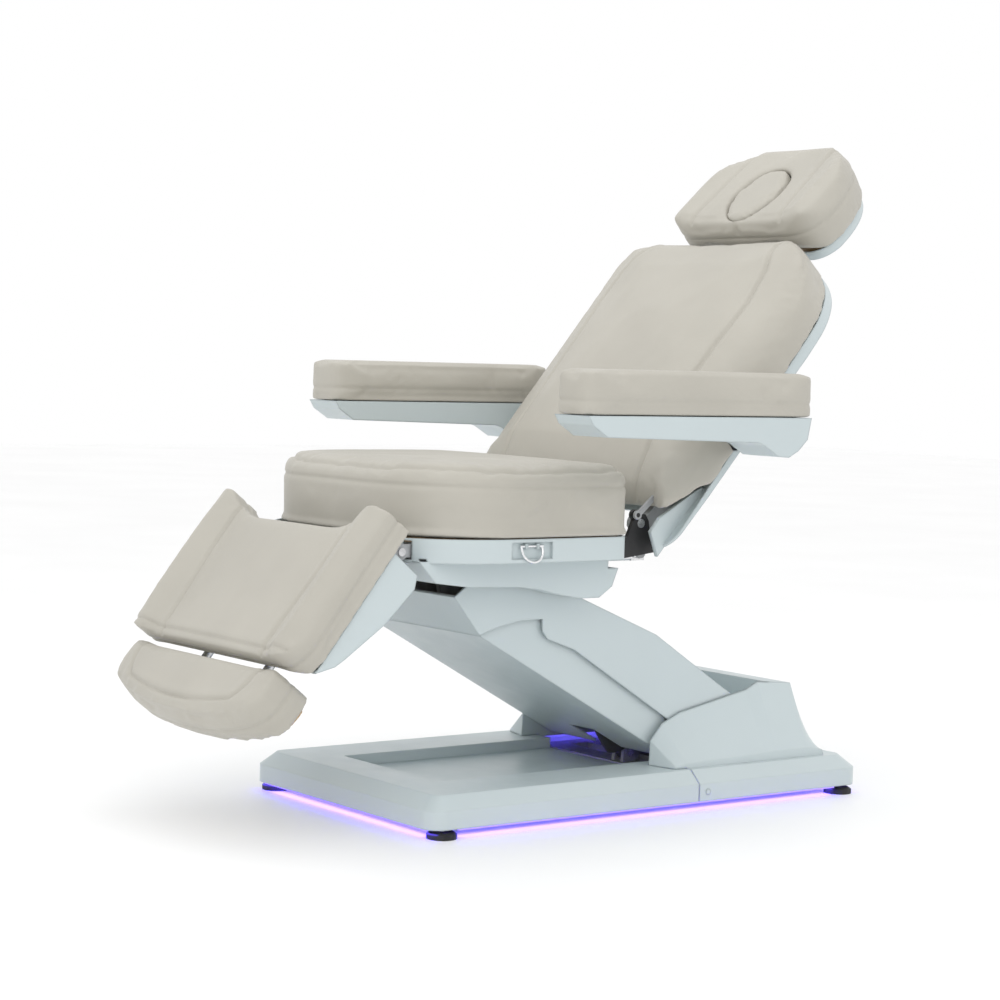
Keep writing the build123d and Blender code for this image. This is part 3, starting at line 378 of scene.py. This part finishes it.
def bridge(mesh, plane, outline, low, high):
    """Adds a short bar of the given side outline on both sides, so the cover closes over a channel."""
    mesh_editor = bmesh.new()
    mesh_editor.from_mesh(mesh)
    for side in (-1.0, 1.0):
        rings = []
        for across in (side * low, side * high):
            places = [plane.place(across, along, out) for along, out in outline]
            rings.append([mesh_editor.verts.new(place) for place in places])
        count = len(outline)
        faces = [mesh_editor.faces.new(rings[0]), mesh_editor.faces.new(rings[1])]
        for index in range(count):
            after = (index + 1) % count
            corners = (rings[0][index], rings[0][after], rings[1][after], rings[1][index])
            faces.append(mesh_editor.faces.new(corners))
        bmesh.ops.recalc_face_normals(mesh_editor, faces=faces)
    mesh_editor.to_mesh(mesh)
    mesh_editor.free()


def start_pad(node, name, plane, shape, cap, shrink=0.0015, rounding=ROUNDING_STEPS, bar=None):
    """Copies the CAD cushion into a new piece and remeshes it into an even, rounded skin."""
    source = frame["nodes"][node]
    obj = bpy.data.objects.new(name, source.data.copy())
    if bar:
        bridge(obj.data, plane, *bar)
    bpy.context.scene.collection.objects.link(obj)
    weld = obj.modifiers.new("weld", "WELD")
    weld.merge_threshold = WELD_GAP
    skin = obj.modifiers.new("skin", "REMESH")
    skin.mode = "VOXEL"
    skin.voxel_size = VOXEL
    soften = obj.modifiers.new("soften", "SMOOTH")
    soften.factor = 0.5
    soften.iterations = rounding
    apply_modifiers(obj)
    set_points(obj.data, points_of(obj.data) - normals_of(obj.data) * shrink)
    pads.append({"obj": obj, "node": node, "plane": plane, "shape": shape, "cap": cap,
                 "start": points_of(obj.data)})


def inflate_pads():
    """Blows every cushion up a little with cloth pressure, all at once."""
    for pad in pads:
        cloth = pad["obj"].modifiers.new("pressure", "CLOTH")
        settings = cloth.settings
        settings.quality = CLOTH_QUALITY
        settings.use_pressure = True
        settings.uniform_pressure_force = PRESSURE
        settings.effector_weights.gravity = 0.0
        settings.tension_stiffness = CLOTH_STRETCH
        settings.compression_stiffness = CLOTH_STRETCH
        settings.bending_stiffness = CLOTH_BENDING
        cloth.collision_settings.use_collision = False
        cloth.point_cache.frame_start = 1
        cloth.point_cache.frame_end = SIM_FRAMES
    for step in range(1, SIM_FRAMES + 1):
        bpy.context.scene.frame_set(step)
    for pad in pads:
        apply_modifiers(pad["obj"])
    bpy.context.scene.frame_set(1)


def finish_pad(pad):
    """Caps the swelling, keeps the underside flat, subdivides once and sews the seams."""
    obj, plane = pad["obj"], pad["plane"]
    start = pad["start"]
    move = points_of(obj.data) - start
    length = np.maximum(np.linalg.norm(move, axis=1), 1e-9)
    move *= np.minimum(1.0, pad["cap"] / length)[:, None]
    depth = plane.local(start)[2]
    depth = depth - depth.min()
    move *= ramp(depth, 0.0, STILL_DEPTH)[:, None]
    set_points(obj.data, start + move)
    divide = obj.modifiers.new("divide", "SUBSURF")
    divide.levels = 1
    divide.render_levels = 1
    apply_modifiers(obj)
    mesh = obj.data
    points = points_of(mesh)
    normals = normals_of(mesh)
    across, along, out = plane.local(points)
    facing = normals @ plane.out
    pull, push = pad["shape"](across, along, out, facing)
    set_points(mesh, points - normals * pull[:, None] + plane.out * push[:, None])
    mesh.materials.clear()
    mesh.materials.append(slots["upholstery"])
    mesh.polygons.foreach_set("use_smooth", np.ones(len(mesh.polygons), dtype=bool))
    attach(obj, body_of_node[pad["node"]])
    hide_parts(pad["node"])


def upward(facing):
    """1 where the cover faces out of the cushion, 0 on its sides."""
    return ramp(facing, 0.35, 0.75)


def no_push(across):
    return np.zeros(len(across))


def crown(across, along, half_width, low, high, height):
    """A gentle rise towards the middle of a panel."""
    side = np.clip(1.0 - (across / half_width) ** 2, 0.0, 1.0)
    end = np.clip((along - low) * (high - along) / ((high - low) / 2) ** 2, 0.0, 1.0)
    return height * np.sqrt(side * end)


def seat_shape(across, along, out, facing):
    low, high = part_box("seat_cushion")
    edge = outline_distance(across, along, high[0], low[1], high[1], 0.200, 0.045)
    top = ramp(facing, 0.2, 0.55)
    pull = seam(np.abs(edge + 0.024), top, SEAM_DEPTH * 0.9)
    side = 1.0 - ramp(np.abs(facing), 0.35, 0.7)
    pull += seam(np.abs(out - high[2] + 0.030), side, SEAM_DEPTH * 0.5)
    rise = crown(across, along, high[0] - 0.03, low[1] + 0.02, high[1] - 0.01, 0.006)
    return pull, rise * ramp(facing, 0.2, 0.8)


def back_shape(across, along, out, facing):
    top = upward(facing)
    inner = path_distance(np.abs(across), along, BACK_SEAM)
    pull = seam(inner, top, SEAM_DEPTH)
    side = 1.0 - ramp(np.abs(facing), 0.4, 0.8)
    middle = out.min() + 0.62 * (out.max() - out.min())
    pull += seam(np.abs(out - middle), side, SEAM_DEPTH * 0.35)
    rise = crown(across, along, BACK_SEAM[0][0], 0.0, 0.66, 0.006)
    return pull, rise * ramp(facing, 0.4, 0.8)


def head_shape(across, along, out, facing):
    top = upward(facing)
    pull = seam(path_distance(np.abs(across), along, HEAD_SEAM), top, SEAM_DEPTH * 0.8)
    side = 1.0 - ramp(np.abs(facing), 0.4, 0.8)
    middle = out.min() + 0.5 * (out.max() - out.min())
    pull += seam(np.abs(out - middle), side, SEAM_DEPTH * 0.35)
    return pull, no_push(across)


def plug_shape(across, along, out, facing):
    rise = crown(across, along, 0.07, along.min(), along.max(), 0.004)
    return no_push(across), rise * ramp(facing, 0.4, 0.8)


def leg_shape(across, along, out, facing):
    top = upward(facing)
    pull = seam(path_distance(np.abs(across), along, LEG_SEAM), ramp(facing, 0.3, 0.6), SEAM_DEPTH)
    pull += seam(np.abs(along - 0.262), top, SEAM_DEPTH * 0.7)
    side = 1.0 - ramp(np.abs(facing), 0.35, 0.7)
    pull += seam(np.abs(out - 0.058), side, SEAM_DEPTH * 0.5)
    rise = crown(across, along, 0.16, 0.0, 0.28, 0.006)
    return pull, rise * ramp(facing, 0.5, 0.9)


def foot_shape(across, along, out, facing):
    top = ramp(facing, 0.25, 0.6)
    edge = outline_distance(across, along, 0.190, 0.24, 0.380, 0.01, 0.075)
    bow = 0.026 * np.clip(1.0 - (across / 0.2) ** 2, 0.0, 1.0)
    edge = np.maximum(edge, along - 0.354 - bow)
    pull = seam(np.abs(edge), top, SEAM_DEPTH * 0.9)
    side = 1.0 - ramp(np.abs(facing), 0.35, 0.7)
    pull += seam(np.abs(out - 0.035), side, SEAM_DEPTH * 0.5)
    return pull, crown(across, along, 0.19, 0.28, 0.38, 0.004) * ramp(facing, 0.5, 0.9)


def armrest_shape(across, along, out, facing):
    side = 1.0 - ramp(np.abs(facing), 0.35, 0.7)
    middle = out.min() + 0.30 * (out.max() - out.min())
    pull = seam(np.abs(out - middle), side, SEAM_DEPTH * 0.35)
    return pull, no_push(across)


def build_pads():
    """One soft piece for every CAD cushion."""
    level = Plane((0.0, 0.0, 0.0), (0.0, 1.0, 0.0), (0.0, 0.0, 1.0))
    back_up = joints["headrest_slide"]["axis"]
    back = Plane(joints["back_recline"]["pos_m"], back_up, (0.0, -back_up[2], back_up[1]))
    head_out = joints["face_plug_pull"]["axis"]
    plug_low, plug_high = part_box("face_hole_plug")
    plug_middle = [(a + b) / 2 for a, b in zip(plug_low, plug_high)]
    head = Plane(plug_middle, (0.0, head_out[2], -head_out[1]), head_out)
    leg_down = joints["foot_slide"]["axis"]
    leg = Plane(joints["leg_lift"]["pos_m"], leg_down, (0.0, leg_down[2], -leg_down[1]))
    start_pad("seat_cushion", "seat_pad", level, seat_shape, cap=0.008)
    start_pad("back_cushion", "back_pad", back, back_shape, cap=0.009, bar=BACK_BRIDGE)
    start_pad("headrest_cushion", "headrest_pad", head, head_shape, cap=0.0025, shrink=0.0,
              rounding=12)
    start_pad("face_hole_plug", "face_hole_pad", head, plug_shape, cap=0.002, shrink=0.001,
              rounding=5)
    start_pad("leg_cushion", "leg_pad", leg, leg_shape, cap=0.004)
    start_pad("foot_cushion", "foot_pad", leg, foot_shape, cap=0.004, shrink=0.0)
    for hand in ("left", "right"):
        start_pad("armrest_cushion_" + hand, "armrest_pad_" + hand, level, armrest_shape,
                  cap=0.004, shrink=0.001)
    inflate_pads()
    for pad in pads:
        finish_pad(pad)


# ---------------------------------------------------------------- studio
def area_light(name, place, target, size, power, colour=(1.0, 1.0, 1.0)):
    light = bpy.data.lights.new(name, "AREA")
    light.shape = "RECTANGLE"
    light.size, light.size_y = size
    light.energy = power
    light.color = colour
    obj = bpy.data.objects.new(name, light)
    bpy.context.scene.collection.objects.link(obj)
    obj.location = place
    # A light that aims straight down needs no turn.
    aim = Vector(target) - Vector(place)
    if aim.x or aim.y:
        obj.rotation_euler = aim.to_track_quat("-Z", "Y").to_euler()


def strip_lights():
    """Violet light that spills from the strip onto the floor around the base."""
    low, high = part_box("light_strip")
    middle_y = (low[1] + high[1]) / 2
    length = high[1] - low[1]
    inset = 0.015
    drop = 0.003
    for side in (-1.0, 1.0):
        edge = side * (high[0] - inset)
        place = (edge, middle_y, low[2] - drop)
        area_light("strip_spill_side", place, (edge, middle_y, -1.0), (STRIP_WIDTH, length),
                   SIDE_SPILL, SPILL_VIOLET)
    for y in (low[1] + inset, high[1] - inset):
        place = (0.0, y, low[2] - drop)
        area_light("strip_spill_end", place, (0.0, y, -1.0), (high[0] - low[0], STRIP_WIDTH),
                   END_SPILL, SPILL_VIOLET)


def studio():
    """A pale floor, an even white world and two soft lights."""
    floor_mesh = bpy.data.meshes.new("studio_floor")
    signs = [(-1, -1), (1, -1), (1, 1), (-1, 1)]
    corners = [(x * FLOOR_REACH, y * FLOOR_REACH, 0.0) for x, y in signs]
    floor_mesh.from_pydata(corners, [], [(0, 1, 2, 3)])
    floor = bpy.data.objects.new("studio_floor", floor_mesh)
    bpy.context.scene.collection.objects.link(floor)
    material, shader = new_material("pale_floor", (0.90, 0.90, 0.90), 0.5)
    two_tone(material, shader, noise(material, 1.5), (0.885, 0.885, 0.885), (0.91, 0.91, 0.91))
    shader.inputs["Emission Color"].default_value = (1.0, 1.0, 1.0, 1.0)
    shader.inputs["Emission Strength"].default_value = FLOOR_GLOW
    floor_mesh.materials.append(material)
    world = bpy.data.worlds.new("soft_white")
    world.use_nodes = True
    world.node_tree.nodes["Background"].inputs["Color"].default_value = (1.0, 1.0, 1.0, 1.0)
    world.node_tree.nodes["Background"].inputs["Strength"].default_value = 1.0
    bpy.context.scene.world = world
    bpy.context.scene.view_settings.view_transform = "Standard"
    middle = (0.0, 0.0, 0.6)
    area_light("key_light", (2.4, -2.6, 3.2), middle, (2.4, 2.4), KEY_POWER)
    area_light("top_light", (0.0, 0.0, 3.4), middle, (2.6, 2.6), TOP_POWER)
    strip_lights()


def camera():
    """The camera of the photograph, from its line of sight, roll and aim point."""
    turn, height, roll = CAMERA_TURN, CAMERA_HEIGHT, CAMERA_ROLL
    forward = Vector((-math.sin(turn) * math.cos(height), math.cos(turn) * math.cos(height),
                      -math.sin(height)))
    level_right = Vector((math.cos(turn), math.sin(turn), 0.0))
    level_up = level_right.cross(forward)
    right = level_right * math.cos(roll) + level_up * math.sin(roll)
    up = level_up * math.cos(roll) - level_right * math.sin(roll)
    place = Vector((AIM_SIDE, CAD_AIM_Y, AIM_HEIGHT)) - forward * CAMERA_DISTANCE
    lens = bpy.data.cameras.new("camera")
    lens.lens = CAMERA_LENS
    lens.sensor_width = SENSOR_WIDTH
    obj = bpy.data.objects.new("camera", lens)
    bpy.context.scene.collection.objects.link(obj)
    axes = Matrix((right, up, -forward)).transposed()
    obj.matrix_world = Matrix.Translation(place) @ axes.to_4x4()
    bpy.context.scene.camera = obj


camera()
finish_cad_nodes()
build_pads()
studio()
